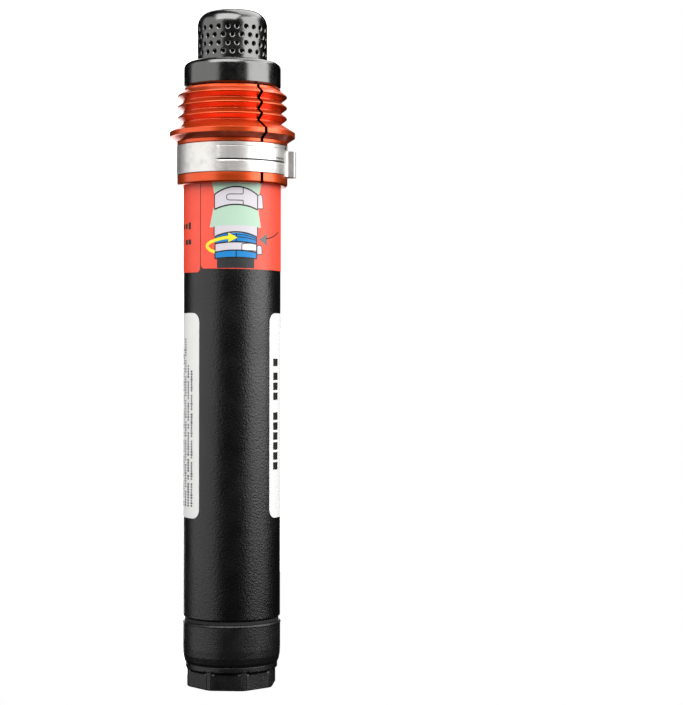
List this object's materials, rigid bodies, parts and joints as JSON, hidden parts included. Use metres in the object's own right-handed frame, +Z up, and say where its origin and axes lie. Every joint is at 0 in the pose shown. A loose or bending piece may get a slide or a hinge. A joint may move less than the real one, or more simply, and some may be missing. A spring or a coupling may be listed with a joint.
{
  "type": "gas inflator",
  "caption": "Gas inflator for an inflatable life jacket: black steel cylinder, perforated outlet, split orange locking sleeve with ear clamp, and an eight-sided screw cap.",
  "frame": {"origin": "centre of the screw cap's flat underside", "axes": "+Z up along the cylinder's axis towards the outlet; -Y is the side where the data label leaves the paint bare"},
  "size_m": [0.0392, 0.0388, 0.2083],
  "materials": {
    "black_paint": "satin",
    "black_steel": "gloss",
    "black_nylon": "satin",
    "orange_anodised": "satin",
    "stainless": "brushed",
    "turned_steel": "turned",
    "brass_pins": "polished",
    "rubber": "matte",
    "red_film": "satin",
    "white_film": "satin",
    "yellow_plastic": "moulded",
    "powder": "matte"
  },
  "bodies": {
    "cylinder": {"cylinder_tube": "black_paint", "fill_plug": "turned_steel", "igniter_carrier": "turned_steel", "carrier_o_ring": "rubber", "header_retainer": "turned_steel", "igniter_header": "turned_steel", "squib_cup": "stainless", "connector_insert": "yellow_plastic", "shorting_clip": "stainless", "contact_pin_left": "brass_pins", "contact_pin_right": "brass_pins", "booster_cup": "stainless", "booster_charge": "powder", "outlet_head": "black_steel", "head_o_ring": "rubber", "burst_disc": "stainless", "disc_ring": "turned_steel", "orifice_plate": "turned_steel", "filter_screen": "stainless", "diffuser_cap": "black_steel", "instruction_label": "red_film", "data_label": "white_film"},
    "sleeve": {"split_sleeve": "orange_anodised", "ear_clamp": "stainless"},
    "cap_seal": {"cap_seal": "rubber"},
    "cap": {"end_cap": "black_nylon"}
  },
  "joints": [
    {"name": "sleeve_turn", "type": "hinge", "parent": "cylinder", "child": "sleeve", "pos_m": [0, 0, 0.17], "axis": [0, 0, 1], "continuous": true},
    {"name": "cap_travel", "type": "slide", "parent": "cylinder", "child": "cap_seal", "axis": [0, 0, -1], "range_m": [0, 0.0075]},
    {"name": "cap_turn", "type": "hinge", "parent": "cap_seal", "child": "cap", "pos_m": [0, 0, 0.01], "axis": [0, 0, -1], "range_deg": [0, 1800]}
  ],
  "couplings": [
    {"joint": "cap_travel", "follows": "cap_turn", "m_per_rad": 0.00023873}
  ]
}
